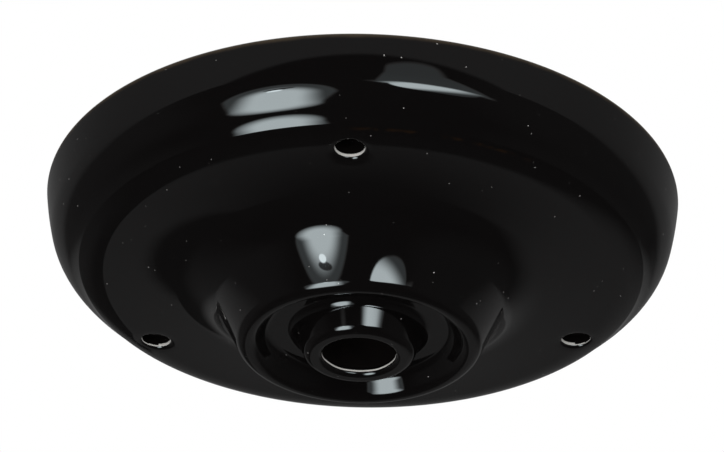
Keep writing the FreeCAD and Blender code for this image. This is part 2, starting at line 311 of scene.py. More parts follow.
def rimNormal(x, y, lean):
    around = math.atan2(y, x)
    angle = math.radians(lean)
    return (math.cos(angle) * math.cos(around), math.cos(angle) * math.sin(around), -math.sin(angle))


# One screw hole: rings from the window's edge to the mouth, its round, the wall and a blind end
def addHole(verts, normals, faces, window, rows, centre):
    h = screwHole
    previous = window
    mouth = h["radius"] + h["mouthRound"]
    rays = []
    for index in window:
        x, y, _ = verts[index]
        reach = math.hypot(x - centre[0], y - centre[1])
        rays.append(((x - centre[0]) / reach, (y - centre[1]) / reach, reach))

    def addRing(points):
        nonlocal previous
        ring = list(range(len(verts), len(verts) + len(points)))
        for place, normal in points:
            verts.append(place)
            normals.append(normal)
        for near in range(len(ring)):
            far = (near + 1) % len(ring)
            faces.append((previous[near], previous[far], ring[far], ring[near]))
        previous = ring

    def onSurface(ray, reach):
        x = centre[0] + ray[0] * reach
        y = centre[1] + ray[1] * reach
        _, height, lean = rowAt(rows, math.hypot(x, y))
        dip = 1 - (reach - mouth) / h["dipReach"]
        if dip <= 0:
            return (x, y, height), rimNormal(x, y, lean)
        return (x, y, height + h["dipDepth"] * dip * dip), (0, 0, 0)

    def inHole(ray, reach, height):
        return (centre[0] + ray[0] * reach, centre[1] + ray[1] * reach, height), (0, 0, 0)

    for step in range(1, h["rings"] + 1):
        share = step / h["rings"]
        addRing([onSurface(ray, ray[2] + (mouth - ray[2]) * share) for ray in rays])
    starts = []
    for ray in rays:
        edge = onSurface(ray, mouth)[0][2]
        slope = edge - onSurface(ray, mouth - h["slopeStep"])[0][2]
        starts.append((edge, edge - slope * h["mouthRound"] / h["slopeStep"]))
    # the round is a quarter arc, as a weighted curve from the edge by the corner to the wall
    for step in range(1, h["roundSteps"] + 1):
        t = step / h["roundSteps"]
        weights = ((1 - t) ** 2, 2 * t * (1 - t) * math.sqrt(0.5), t * t)
        whole = sum(weights)
        reach = (weights[0] * mouth + (weights[1] + weights[2]) * h["radius"]) / whole
        points = []
        for ray, (edge, corner) in zip(rays, starts):
            heights = (edge, corner, corner + h["mouthRound"])
            height = sum(weight * value for weight, value in zip(weights, heights)) / whole
            points.append(inHole(ray, reach, height))
        addRing(points)
    addRing([inHole(ray, h["radius"], corner + h["mouthRound"] + h["wornDepth"])
             for ray, (edge, corner) in zip(rays, starts)])
    addRing([inHole(ray, h["radius"], h["blindDepth"] - rose["faceDepth"]) for ray in rays])
    faces.append(tuple(previous))


def screwCentres():
    reach = rose["radius"] - screwHole["edgeDistance"]
    angles = [math.radians(-90 + 360 * index / screwHole["count"]) for index in range(screwHole["count"])]
    return [(reach * math.cos(angle), reach * math.sin(angle), angle) for angle in angles]


def meshFrom(name, verts, faces):
    mesh = bpy.data.meshes.new(name)
    mesh.from_pydata([Vector(place) * mm for place in verts], [], faces)
    return mesh


def shellMesh():
    outer = outerRows()
    inner = innerRows()
    bareFoot = (rose["radius"] - rose["footEdgeRound"] - rose["footGlaze"], 0, 0)
    rows = outer + inner[-2::-1] + [bareFoot]
    columns = rose["columns"]
    verts = []
    normals = []
    glazed = []  # 1 on the glazed outside, 0 on the bare inside
    for index, (radius, height, lean) in enumerate(rows):
        for column in range(columns):
            angle = math.radians(-90 + 360 * column / columns)
            x = radius * math.cos(angle)
            y = radius * math.sin(angle)
            verts.append((x, y, height))
            normals.append(rimNormal(x, y, lean) if index < len(outer) else (0, 0, 0))
            glazed.append(1.0 if index < len(outer) else 0.0)
    rose["holeMouth"], rose["holeLean"] = rowAt(outer, rose["radius"] - screwHole["edgeDistance"])[1:]
    face = [index for index, (radius, _, lean) in enumerate(outer)
            if screwHole["windowIn"] < radius < screwHole["windowOut"] and lean > screwHole["windowLean"]]
    first = face[0]
    last = face[-1]
    half = screwHole["windowColumns"]
    opened = set()
    faces = []
    windows = []
    for number in range(screwHole["count"]):
        middle = number * columns // screwHole["count"]
        cells = range(middle - half, middle + half)
        opened |= {(row, column % columns) for row in range(first, last) for column in cells}
        around = [(first, column) for column in range(middle - half, middle + half)]
        around += [(row, middle + half) for row in range(first, last)]
        around += [(last, column) for column in range(middle + half, middle - half, -1)]
        around += [(row, middle - half) for row in range(last, first, -1)]
        windows.append([row * columns + column % columns for row, column in around])
    for row in range(len(rows)):
        after = (row + 1) % len(rows)
        for column in range(columns):
            if (row, column) not in opened:
                beside = (column + 1) % columns
                faces.append((row * columns + column, row * columns + beside,
                              after * columns + beside, after * columns + column))
    for window, centre in zip(windows, screwCentres()):
        addHole(verts, normals, faces, window, outer, centre)
    glazed += [1.0] * (len(verts) - len(glazed))
    mesh = meshFrom("shell", verts, faces)
    mesh.attributes.new("glazed", "FLOAT", "POINT").data.foreach_set("value", glazed)
    flat = [value for normal in normals for value in normal]
    mesh.attributes.new("mouldNormal", "FLOAT_VECTOR", "POINT").data.foreach_set("vector", flat)
    tidyMesh(mesh)
    return mesh


def tidyMesh(mesh):
    work = bmesh.new()
    work.from_mesh(mesh)
    bmesh.ops.delete(work, geom=[vert for vert in work.verts if not vert.link_faces], context="VERTS")
    bmesh.ops.recalc_face_normals(work, faces=work.faces)
    work.to_mesh(mesh)
    work.free()


# A closed prism from an outline in mm, stood up by a turn where it needs one
def prism(outline, start, end, turn=None):
    verts = [tuple(point) + (start,) for point in outline] + [tuple(point) + (end,) for point in outline]
    count = len(outline)
    faces = [tuple(range(count)), tuple(range(2 * count - 1, count - 1, -1))]
    for index in range(count):
        after = (index + 1) % count
        faces.append((index, index + count, after + count, after))
    mesh = meshFrom("prism", verts, faces)
    if turn:
        mesh.transform(turn)
    tidyMesh(mesh)
    return mesh


def circlePoints(radius, x=0.0, y=0.0, count=64, first=0.0, sweep=360.0):
    whole = sweep >= 360
    steps = count if whole else count + 1
    angles = [math.radians(first + sweep * index / count) for index in range(steps)]
    return [(x + radius * math.cos(angle), y + radius * math.sin(angle)) for angle in angles]


def ovalPoints(spacing, radius, x, y, count=32):
    right = circlePoints(radius, x + spacing / 2, y, count, -90, 180)
    left = circlePoints(radius, x - spacing / 2, y, count, 90, 180)
    return right + left


def combine(base, others, operation):
    body = linkObject("combining", base)
    helpers = []
    for mesh in others:
        helper = linkObject("operand", mesh)
        modifier = body.modifiers.new("combine", "BOOLEAN")
        modifier.operation = operation
        modifier.solver = "EXACT"
        modifier.object = helper
        helpers.append(helper)
    graph = bpy.context.evaluated_depsgraph_get()
    result = bpy.data.meshes.new_from_object(body.evaluated_get(graph))
    for thing in helpers + [body]:
        bpy.data.objects.remove(thing)
    return result


def joinMeshes(meshes):
    work = bmesh.new()
    for mesh in meshes:
        work.from_mesh(mesh)
    joined = bpy.data.meshes.new("joined")
    work.to_mesh(joined)
    work.free()
    return joined


# Cast-on posts and saddle behind the face, and the holes in them

inside = {
    "blockPostRadius": 3.6, "blockPostSpacing": 9.5, "blockY": -13.2, "blockSeat": 12.6,
    "clampPostRadius": 3.65, "clampSpacing": 18.0, "clampY": 13.0, "clampSeat": 12.0, "clampGap": 3.6,
    "saddleRadius": 3.2, "embed": 1.6, "blockInsertHole": 2.2, "blockInsertBottom": 17.7,
    "clampInsertHole": 2.45, "clampInsertBottom": 16.8, "holeSlack": 0.01, "cutterTop": 1.0,
}


# Three screw pillars, each tied to the side by a web
def pillarMeshes():
    h = screwHole
    radius = rose["radius"]
    innerFace = rose["faceDepth"] - rose["wall"]
    bottom = -innerFace - h["pillarEmbed"]
    reach = radius - h["edgeDistance"]
    webSide = [(reach, 0), (radius - h["webTopInset"], 0), (radius - h["webBendInset"], -h["webBendDepth"]),
               (radius - h["webFootInset"], -innerFace - h["webFootEmbed"]), (reach, bottom)]
    half = h["webWidth"] / 2
    meshes = []
    for x, y, angle in screwCentres():
        pillar = prism(circlePoints(h["radius"] + h["pillarWall"], x, y), bottom, 0)
        stand = Matrix.Rotation(angle, 4, "Z") @ Matrix.Rotation(math.pi / 2, 4, "X")
        meshes.append(combine(pillar, [prism(webSide, -half, half, stand)], "UNION"))
    return meshes


def blockPost(low):
    s = inside
    outline = ovalPoints(s["blockPostSpacing"], s["blockPostRadius"], 0, s["blockY"])
    return prism(outline, low, -s["blockSeat"])


# Two posts and the saddle between them, which the clamp bar presses the cord on
def clampPosts(low):
    s = inside
    half = s["clampSpacing"] / 2
    posts = [prism(circlePoints(s["clampPostRadius"], side * half, s["clampY"]), low, -s["clampSeat"])
             for side in (-1, 1)]
    top = -s["clampSeat"] - s["clampGap"] - s["saddleRadius"]
    outline = [(y, z + top) for y, z in circlePoints(s["saddleRadius"], 0, 0, 32, 0, 180)]
    outline += [(-s["saddleRadius"], low), (s["saddleRadius"], low)]
    stand = Matrix.Translation((0, s["clampY"] * mm, 0)) @ Matrix.Rotation(math.pi / 2, 4, "Z")
    saddle = prism(outline, -half, half, stand @ Matrix.Rotation(math.pi / 2, 4, "X"))
    return combine(posts[0], [saddle, posts[1]], "UNION")


def castOnMeshes():
    low = -rose["floorDepth"] - inside["embed"]
    return pillarMeshes() + [blockPost(low), clampPosts(low)]


def holeMeshes():
    s = inside
    blindEnd = screwHole["blindDepth"] - screwHole["blindOverlap"] - rose["faceDepth"]
    holes = [(x, y, screwHole["radius"] - s["holeSlack"], blindEnd) for x, y, _ in screwCentres()]
    for side in (-1, 1):
        blockX = side * s["blockPostSpacing"] / 2
        clampX = side * s["clampSpacing"] / 2
        holes.append((blockX, s["blockY"], s["blockInsertHole"], -s["blockInsertBottom"]))
        holes.append((clampX, s["clampY"], s["clampInsertHole"], -s["clampInsertBottom"]))
    return [prism(circlePoints(radius, x, y), bottom, s["cutterTop"]) for x, y, radius, bottom in holes]


# Outside normals come from the mould's section, so that the gloss runs without a ripple; where
# none is stored, a zero vector leaves the mesh's own
def useMouldNormals(mesh):
    mesh.shade_smooth()
    mesh.set_sharp_from_angle(angle=math.radians(rose["sharpAngle"]))
    attribute = mesh.attributes["mouldNormal"]
    values = [Vector(item.vector) for item in attribute.data]
    loops = []
    for loop in mesh.loops:
        value = values[loop.vertex_index]
        loops.append(value.normalized() if value.length > 0.9 else Vector())
    mesh.attributes.remove(attribute)
    mesh.normals_split_custom_set(loops)


# The booleans hand on the outside's values to some corners inside, so those are cleared
def clearInside(mesh):
    rows = innerRows()
    slack = rose["slack"]
    bareRadius = rose["radius"] - rose["footEdgeRound"] - rose["footGlaze"]
    glazed = mesh.attributes["glazed"].data
    normals = mesh.attributes["mouldNormal"].data
    for vert in mesh.vertices:
        x, y, z = vert.co / mm
        radius = math.hypot(x, y)
        behindFace = radius < rows[0][0] + slack and z > rowAt(rows, radius)[1] - slack
        onFootRing = radius < bareRadius + slack and z > -slack
        if behindFace or onFootRing:
            glazed[vert.index].value = 0.0
            normals[vert.index].vector = (0, 0, 0)


def porcelainBody():
    shell = combine(shellMesh(), castOnMeshes(), "UNION")
    mesh = combine(shell, [joinMeshes(holeMeshes())], "DIFFERENCE")
    clearInside(mesh)
    useMouldNormals(mesh)
    mesh.name = "porcelain_body"
    piece = linkObject("porcelain_body", mesh)
    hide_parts("rose_body")
    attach(piece, "root")
    return piece


# Slotted pan-head screws, by Geometry Nodes: one tree, with each kind's sizes as its inputs

# shank: its radius; head: its height, as the width comes from the CAD screw
screws = {
    "wire_screw": {"shank": 1.4, "head": 1.6, "pitch": 0.5, "finish": "plated_steel"},
    "block_screw": {"shank": 1.25, "head": 1.5, "pitch": 0.45, "finish": "brass"},
    "clamp_screw": {"shank": 1.5, "head": 2.0, "pitch": 0.5, "finish": "plated_steel"},
}
screwForm = {
    "slotWidth": 0.7, "slotDepth": 0.8, "slotReach": 2.4, "roundShare": 0.45, "threadShare": 0.55,
    "bareNeck": 0.4, "neckFade": 0.3, "point": 0.45, "overlap": 0.2, "sharpAngle": 32.0,
    "columns": 40, "rowsPerTurn": 8, "headColumns": 64, "headRows": 14, "capRings": 8,
}


def joinAxes(tree, x=0.0, y=0.0, z=0.0):
    return addNode(tree, "ShaderNodeCombineXYZ", {"X": x, "Y": y, "Z": z}).outputs[0]


def moveTo(tree, geometry, x, y, z):
    inputs = {"Geometry": geometry, "Position": joinAxes(tree, x, y, z)}
    return addNode(tree, "GeometryNodeSetPosition", inputs).outputs[0]


# A fine cylinder whose wall follows a helix, plain under the head and pointed at the tip
def threadedShank(tree, given, x, y, z):
    form = screwForm
    length = given["Shank Length"]
    shank = addNode(tree, "GeometryNodeMeshCylinder", {
        "Vertices": form["columns"], "Side Segments": given["Thread Rows"],
        "Radius": given["Shank Radius"], "Depth": length}, fill_type="NGON").outputs["Mesh"]
    turns = over(tree, z, given["Pitch"])
    around = over(tree, mathNode(tree, "ARCTAN2", y, x), 2 * math.pi)
    wave = mathNode(tree, "PINGPONG", minus(tree, turns, around), 0.5)
    cut = times(tree, wave, times(tree, given["Pitch"], 2 * form["threadShare"]))
    neck = minus(tree, times(tree, length, 0.5), form["bareNeck"] * mm)
    cut = times(tree, cut, smoothRange(tree, z, neck, minus(tree, neck, form["neckFade"] * mm)))
    point = minus(tree, plus(tree, times(tree, length, -0.5), form["point"] * mm), z)
    cut = larger(tree, cut, larger(tree, point, 0.0))
    inwards = minus(tree, 1.0, over(tree, cut, given["Shank Radius"]))
    return moveTo(tree, shank, times(tree, x, inwards), times(tree, y, inwards),
                  minus(tree, z, times(tree, length, 0.5)))


# A cylinder rounded over its upper rim, with the driver's slot cut across
def slottedHead(tree, given, x, y, z):
    form = screwForm
    height = given["Head Height"]
    head = addNode(tree, "GeometryNodeMeshCylinder", {
        "Vertices": form["headColumns"], "Side Segments": form["headRows"], "Fill Segments": form["capRings"],
        "Radius": given["Head Radius"], "Depth": height}, fill_type="NGON").outputs["Mesh"]
    rounding = times(tree, height, form["roundShare"])
    start = minus(tree, times(tree, height, 0.5), rounding)
    climb = over(tree, minus(tree, z, start), rounding, clamp=True)
    bulge = mathNode(tree, "SQRT", larger(tree, minus(tree, 1.0, times(tree, climb, climb)), 0.0))
    lost = times(tree, minus(tree, 1.0, bulge), rounding)
    drawn = minus(tree, 1.0, over(tree, lost, given["Head Radius"]))
    rounded = moveTo(tree, head, times(tree, x, drawn), times(tree, y, drawn),
                     plus(tree, z, times(tree, height, 0.5)))
    slotSize = joinAxes(tree, times(tree, given["Head Radius"], form["slotReach"]),
                        form["slotWidth"] * mm, 2 * form["slotDepth"] * mm)
    slot = addNode(tree, "GeometryNodeTransform", {
        "Geometry": addNode(tree, "GeometryNodeMeshCube", {"Size": slotSize}).outputs["Mesh"],
        "Translation": joinAxes(tree, z=height)}).outputs[0]
    return addNode(tree, "GeometryNodeMeshBoolean", {"Mesh 1": rounded, "Mesh 2": slot},
                   operation="DIFFERENCE", solver="EXACT").outputs["Mesh"]


def screwTree():
    tree = bpy.data.node_groups.new("slotted_screw", "GeometryNodeTree")
    tree.interface.new_socket("Geometry", in_out="OUTPUT", socket_type="NodeSocketGeometry")
    tree.interface.new_socket("Seats", in_out="INPUT", socket_type="NodeSocketGeometry")
    for name in ("Shank Radius", "Shank Length", "Head Radius", "Head Height", "Pitch"):
        tree.interface.new_socket(name, in_out="INPUT", socket_type="NodeSocketFloat")
    tree.interface.new_socket("Thread Rows", in_out="INPUT", socket_type="NodeSocketInt")
    tree.interface.new_socket("Finish", in_out="INPUT", socket_type="NodeSocketMaterial")
    given = addNode(tree, "NodeGroupInput").outputs
    x, y, z = splitAxes(tree, addNode(tree, "GeometryNodeInputPosition").outputs[0])
    whole = addNode(tree, "GeometryNodeMeshBoolean", operation="UNION", solver="EXACT")
    tree.links.new(slottedHead(tree, given, x, y, z), whole.inputs["Mesh 2"])
    tree.links.new(threadedShank(tree, given, x, y, z), whole.inputs["Mesh 2"])
    seated = addNode(tree, "GeometryNodeInstanceOnPoints", {
        "Points": given["Seats"], "Instance": whole.outputs["Mesh"]}).outputs[0]
    real = addNode(tree, "GeometryNodeRealizeInstances", {"Geometry": seated}).outputs[0]
    finished = addNode(tree, "GeometryNodeSetMaterial", {
        "Geometry": real, "Material": given["Finish"]}).outputs[0]
    addNode(tree, "NodeGroupOutput", {"Geometry": finished})
    return tree


def slottedScrew(tree, name, kind, finish):
    low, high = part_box(name)
    head = kind["head"] * mm
    pitch = kind["pitch"] * mm
    length = high.z - low.z - head
    sizes = {
        "Shank Radius": kind["shank"] * mm, "Shank Length": length + screwForm["overlap"] * mm,
        "Head Radius": (high.x - low.x) / 2, "Head Height": head, "Pitch": pitch,
        "Thread Rows": math.ceil(length / pitch * screwForm["rowsPerTurn"]), "Finish": finish,
    }
    seats = bpy.data.meshes.new(name + "_seat")
    seats.from_pydata([((low.x + high.x) / 2, (low.y + high.y) / 2, high.z - head)], [], [])
    base = linkObject(name + "_base", seats)
    modifier = base.modifiers.new("screw", "NODES")
    modifier.node_group = tree
    for item in tree.interface.items_tree:
        if item.in_out == "INPUT" and item.name in sizes:
            modifier[item.identifier] = sizes[item.name]
    mesh = bpy.data.meshes.new_from_object(base.evaluated_get(bpy.context.evaluated_depsgraph_get()))
    bpy.data.objects.remove(base)
    mesh.shade_smooth()
    mesh.set_sharp_from_angle(angle=math.radians(screwForm["sharpAngle"]))
    mesh.name = "turned_" + name
    piece = linkObject("turned_" + name, mesh)
    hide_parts(name)
    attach(piece, "root")


# Glaze over porcelain: black and glossy, thin and brown at the foot, bare and pale inside

glaze = {
    "black": (0.0022, 0.0019, 0.0019, 1.0), "thin": (0.036, 0.026, 0.016, 1.0),
    "bare": (0.62, 0.58, 0.50, 1.0), "bareShade": (0.46, 0.42, 0.35, 1.0),
    # the near-black after dust, with its roughness and cloud scale below, is painted shade for the holes'
    # deep walls
    "dust": (0.34, 0.33, 0.32, 1.0), "holeShade": (0.004, 0.0033, 0.0030, 1.0), "edge": (0.46, 0.45, 0.43, 1.0),
    "glossRoughness": 0.028, "dullRoughness": 0.6, "bareRoughness": 0.62, "holeShadeRoughness": 0.9, "ior": 1.52,
    "wobbleScale": 260.0, "cloudScale": 90.0, "grainScale": 2600.0, "rippleScale": 120.0, "holeShadeScale": 300.0,
    "bareFrom": 0.70, "glazedFrom": 0.78, "speckFrom": 0.885, "speckFull": 0.90,
    "thinFrom": -0.8, "thinFull": 0.1, "thinWaves": 0.6, "relief": 0.2, "reliefStrength": 0.06,
}
# wide: how deep the worn ring runs into each mouth. The ring's pale colour is partly porcelain worn bare and
# partly a painted highlight, the bright lip of each mouth
wornHighlightRing = {
    "holeWide": 0.42, "boreWide": 0.22, "near": 0.10, "onWall": 0.06, "soft": 0.05, "waves": 0.3, "full": 0.6,
}
# a broken brown line where the rim meets the face: thin glaze on the crease and a painted reflection there,
# so it is drawn on the camera's side only
creaseGlazeAndReflection = {
    "colour": (0.007, 0.0038, 0.0020, 1.0), "inner": 45.55, "outer": 45.95, "soft": 0.2,
    "top": -12.0, "bottom": -13.0, "left": 1.0, "right": 27.0, "endSoft": 3.0, "farY": -30.0, "nearY": -36.0,
    "breakScale": 420.0, "breakFrom": 0.40, "breakFull": 0.58,
}


# Pale ring just inside each mouth: worn glaze, and a painted highlight for the mouths' bright lips
def wornHighlightRings(tree, radius, around, height, wobble):
    w = wornHighlightRing
    reach = (rose["radius"] - screwHole["edgeDistance"]) * mm
    # the nearest hole's centre is found by folding the angle round the rose
    folded = mathNode(tree, "PINGPONG", plus(tree, around, math.pi / 2), math.pi / screwHole["count"])
    squares = plus(tree, times(tree, radius, radius), reach * reach)
    across = times(tree, times(tree, radius, mathNode(tree, "COSINE", folded)), 2 * reach)
    apart = mathNode(tree, "SQRT", minus(tree, squares, across))
    slope = 1 / math.tan(math.radians(rose["holeLean"]))
    face = times(tree, minus(tree, radius, reach), slope)
    holeDepth = minus(tree, minus(tree, height, face), (rose["holeMouth"] + screwHole["mouthRound"]) * mm)
    boreDepth = minus(tree, height, rose["boreMouth"] * mm)
    waves = times(tree, minus(tree, wobble, 0.5), w["waves"] * mm)
    wornHighlight = 0.0
    for distance, wall, depth, wide in ((apart, screwHole["radius"], holeDepth, w["holeWide"]),
                                        (radius, rose["boreRadius"], boreDepth, w["boreWide"])):
        near = smoothRange(tree, distance, (wall + w["near"]) * mm, (wall + w["onWall"]) * mm)
        ring = between(tree, plus(tree, depth, waves), -w["soft"] * mm, wide * mm, w["soft"] * mm)
        wornHighlight = larger(tree, wornHighlight, times(tree, near, ring))
    return wornHighlight


# The crease's brown line: thin glaze, and a painted reflection kept to the camera's side
def thinGlazeAndReflection(tree, place, radius, x, y, height):
    c = creaseGlazeAndReflection
    line = between(tree, radius, c["inner"] * mm, c["outer"] * mm, c["soft"] * mm)
    breaks = smoothRange(tree, noiseAt(tree, place, c["breakScale"], 3), c["breakFrom"], c["breakFull"])
    for mask in (smoothRange(tree, height, c["top"] * mm, c["bottom"] * mm), breaks,
                 between(tree, x, c["left"] * mm, c["right"] * mm, c["endSoft"] * mm),
                 smoothRange(tree, y, c["farY"] * mm, c["nearY"] * mm)):
        line = times(tree, line, mask)
    return line


def porcelainMaterial():
    g = glaze
    material, tree = newMaterial("black_glaze")
    place = objectPlace(tree)
    x, y, height = splitAxes(tree, place)
    radius = mathNode(tree, "SQRT", plus(tree, times(tree, x, x), times(tree, y, y)))
    glazed = addNode(tree, "ShaderNodeAttribute", attribute_name="glazed").outputs["Fac"]
    wobble = noiseAt(tree, place, g["wobbleScale"], 3)
    mask = smoothRange(tree, plus(tree, glazed, times(tree, wobble, 0.5)), g["bareFrom"], g["glazedFrom"])
    wornHighlight = wornHighlightRings(tree, radius, mathNode(tree, "ARCTAN2", y, x), height, wobble)

    wavyHeight = plus(tree, height, times(tree, wobble, g["thinWaves"] * mm))
    colour = mixColour(tree, smoothRange(tree, wavyHeight, g["thinFrom"] * mm, g["thinFull"] * mm),
                       g["black"], g["thin"])
    specks = smoothRange(tree, noiseAt(tree, place, g["grainScale"], 0), g["speckFrom"], g["speckFull"])
    colour = mixColour(tree, specks, colour, g["dust"])
    # the brown crease line, partly a painted reflection
    colour = mixColour(tree, thinGlazeAndReflection(tree, place, radius, x, y, height), colour, creaseGlazeAndReflection["colour"])
    # the pale mouth ring: worn glaze, partly a painted highlight
    colour = mixColour(tree, wornHighlight, colour, g["edge"])
    bare = mixColour(tree, noiseAt(tree, place, g["cloudScale"], 4), g["bare"], g["bareShade"])
    colour = mixColour(tree, mask, bare, colour)

    gloss = smoothRange(tree, wornHighlight, 0.0, wornHighlightRing["full"], g["glossRoughness"], g["dullRoughness"])
    roughness = mixValue(tree, mask, g["bareRoughness"], gloss)
    relief = mixValue(tree, mask, noiseAt(tree, place, g["grainScale"], 2),
                      noiseAt(tree, place, g["rippleScale"], 1))
    bump = addNode(tree, "ShaderNodeBump", {
        "Height": relief, "Strength": g["reliefStrength"], "Distance": g["relief"] * mm})
    shader = addNode(tree, "ShaderNodeBsdfPrincipled", {
        "Base Color": colour, "Roughness": roughness, "IOR": g["ior"], "Normal": bump.outputs["Normal"]})
    finishMaterial(tree, shader.outputs["BSDF"])
    return material


# Painted shade deep in the holes, which no light reaches: a thin matt glaze, black and with no reflection
def paintedHoleShade():
    material, tree = newMaterial("painted_hole_shade")
    cloud = noiseAt(tree, objectPlace(tree), glaze["holeShadeScale"], 3)
    shader = addNode(tree, "ShaderNodeBsdfPrincipled", {
        "Base Color": mixColour(tree, cloud, glaze["black"], glaze["holeShade"]),
        "Roughness": glaze["holeShadeRoughness"], "Specular IOR Level": 0.0})
    finishMaterial(tree, shader.outputs["BSDF"])
    return material


# The walls above the pale ring in the mouths take the second material, the painted shade
def usePaintedHoleShade(mesh):
    wornHighlight = screwHole["wornDepth"]
    slack = rose["slack"]
    holes = [(0.0, 0.0, rose["boreRadius"], rose["boreMouth"] + wornHighlight)]
    holes += [(x, y, screwHole["radius"], rose["holeMouth"] + wornHighlight) for x, y, _ in screwCentres()]
    for face in mesh.polygons:
        corners = [mesh.vertices[index].co / mm for index in face.vertices]
        for x, y, radius, height in holes:
            if all(math.hypot(spot.x - x, spot.y - y) < radius + 2 * slack and spot.z > height - slack
                   for spot in corners):
                face.material_index = 1


metals = {
    "turned_brass": {"colour": (0.78, 0.60, 0.28, 1), "dark": (0.56, 0.40, 0.17, 1), "roughness": 0.26},
    "plated_steel": {"colour": (0.66, 0.66, 0.64, 1), "dark": (0.57, 0.57, 0.56, 1), "roughness": 0.32},
}
metalGrain = {
    "streakScale": 700.0, "streaks": (0.35, 0.7), "grainScale": 1800.0, "grain": (0.2, 0.8),
    "smoother": 0.06, "rougher": 0.08,
}
steatite = {
    "pale": (0.74, 0.69, 0.60, 1), "deep": (0.62, 0.56, 0.46, 1), "roughness": 0.55,
    "cloudScale": 240.0, "grainScale": 2400.0, "grainStrength": 0.15, "grain": 0.1,
}


def metalMaterial(name):
    metal = metals[name]
    material, tree = newMaterial(name)
    place = objectPlace(tree)
    streaks = smoothRange(tree, noiseAt(tree, place, metalGrain["streakScale"], 4, 0.6),
                          *metalGrain["streaks"])
    rough = smoothRange(tree, noiseAt(tree, place, metalGrain["grainScale"], 2), *metalGrain["grain"],
                        metal["roughness"] - metalGrain["smoother"],
                        metal["roughness"] + metalGrain["rougher"])
    shader = addNode(tree, "ShaderNodeBsdfPrincipled", {
        "Base Color": mixColour(tree, streaks, metal["colour"], metal["dark"]),
        "Roughness": rough, "Metallic": 1.0})
    finishMaterial(tree, shader.outputs["BSDF"])
    return material


def steatiteMaterial():
    s = steatite
    material, tree = newMaterial("fired_steatite")
    place = objectPlace(tree)
    bump = addNode(tree, "ShaderNodeBump", {
        "Height": noiseAt(tree, place, s["grainScale"], 3), "Strength": s["grainStrength"],
        "Distance": s["grain"] * mm})
    shader = addNode(tree, "ShaderNodeBsdfPrincipled", {
        "Base Color": mixColour(tree, noiseAt(tree, place, s["cloudScale"], 4), s["pale"], s["deep"]),
        "Roughness": s["roughness"], "Normal": bump.outputs["Normal"]})
    finishMaterial(tree, shader.outputs["BSDF"])
    return material


# Light, floor and camera

room = {
    "dark": 0.015, "tableNear": 0.19, "tableFar": 0.13, "tableNearY": -0.8, "tableFarY": 0.3,
    "tableTilt": 0.236, "tableFlatY": 0.2, "edgeNearY": -0.5, "edgeNear": 0.015, "edgeFar": 0.14,
    "overhead": 0.45, "overheadFrom": 32.0, "overheadFull": 50.0, "diffuseLevel": 0.85,
    "lampTint": (0.86, 0.97, 1.0, 1), "tintFrom": 0.25, "tintFull": 0.6,
    "spotRim": (1.3, 0.6), "lampDistance": 0.9, "floorHeight": -1.35, "floorRadius": 3.5, "floorSides": 96,
    "floorColour": (0.82, 0.82, 0.82, 1),
}
# four strips of the room: how bright each is, and from where it fades in to where it is full
backdrop = {
    "sheet": 0.105, "sheetLeft": (-11.6, -10.0), "sheetRight": (50, 20), "sheetLow": (-52, -33),
    "left": 0.055, "leftEdge": (-9, -30), "leftEnd": (-140, -95), "leftLow": (-60, -20),
    "low": 0.022, "lowY": (-0.2, 0.5), "side": 0.045, "sideX": (0.2, 0.9),
}
# azimuth to light: the plain softbox that lights the object; the rest shapes its mirror image
leftLamp = {
    "azimuth": -37.0, "elevation": -42.0, "wide": 30.0, "high": 40.0, "light": 5.0,
    "top": (-33.0, -32.0), "foot": (-41.0, -50.0), "edge": 0.7, "core": 9.4, "coreFade": (15.5, 6.0),
    "rim": (20.0, 17.5), "taper": 5.0,
    "shadow": (-30.5, -21.2), "shadowSize": (6.0, 1.4), "shadowLevel": 0.12,
    "bulb": (-32.5, -23.4), "bulbSize": (3.3, 1.4), "bulbLevel": 17.0,
    "glint": (-25.5, -22.6), "glintSize": (2.4, 0.6), "glintLevel": 3.0,
}
# mouth: a squarish disc; brim: a wider oval along its top; centre: where the slanted bright core lies
rightLamp = {
    "azimuth": 22.0, "elevation": -16.0, "wide": 30.0, "high": 20.0, "light": 5.0,
    "mouth": (24.0, -13.0), "mouthSize": (16.5, 12.0), "mouthPower": 2.3, "mouthRim": (1.12, 0.9),
    "brim": (23.0, -12.0), "brimSize": (22.5, 6.0), "brimTop": (-10.5, -14.0),
    "centre": (20.0, -16.0), "centreSize": (18.0, 11.0), "centreSlant": 1.2,
    "edge": 0.6, "core": 9.6, "coreFade": (1.15, 0.4),
    "glow": 0.60, "glowTop": 0.85, "glowFade": (12, -14), "glowFoot": (-17, -14), "glowBase": 14.0,
    "leftEdge": (2.0, 4.0), "leftSlant": 0.155, "rightEdge": (47, 43), "rightSlant": 0.85,
    "crown": (12.3, 10.3), "crownMiddle": 17.0, "crownBend": 0.018,
}


def direction(azimuth, elevation):
    turned = math.radians(azimuth - 90 + view["turn"])
    rise = math.radians(elevation)
    return Vector((math.cos(rise) * math.cos(turned), math.cos(rise) * math.sin(turned), math.sin(rise)))


def fade(tree, value, ends):
    return smoothRange(tree, value, *ends)


def inDegrees(tree, angle):
    return times(tree, angle, 180 / math.pi)


def squareSum(tree, first, second):
    return plus(tree, times(tree, first, first), times(tree, second, second))


# An oval spot of light, as far across and up as its size
def spotAt(tree, azimuth, elevation, place, size):
    across = over(tree, minus(tree, azimuth, place[0]), size[0])
    upright = over(tree, minus(tree, elevation, place[1]), size[1])
    return fade(tree, squareSum(tree, across, upright), room["spotRim"])


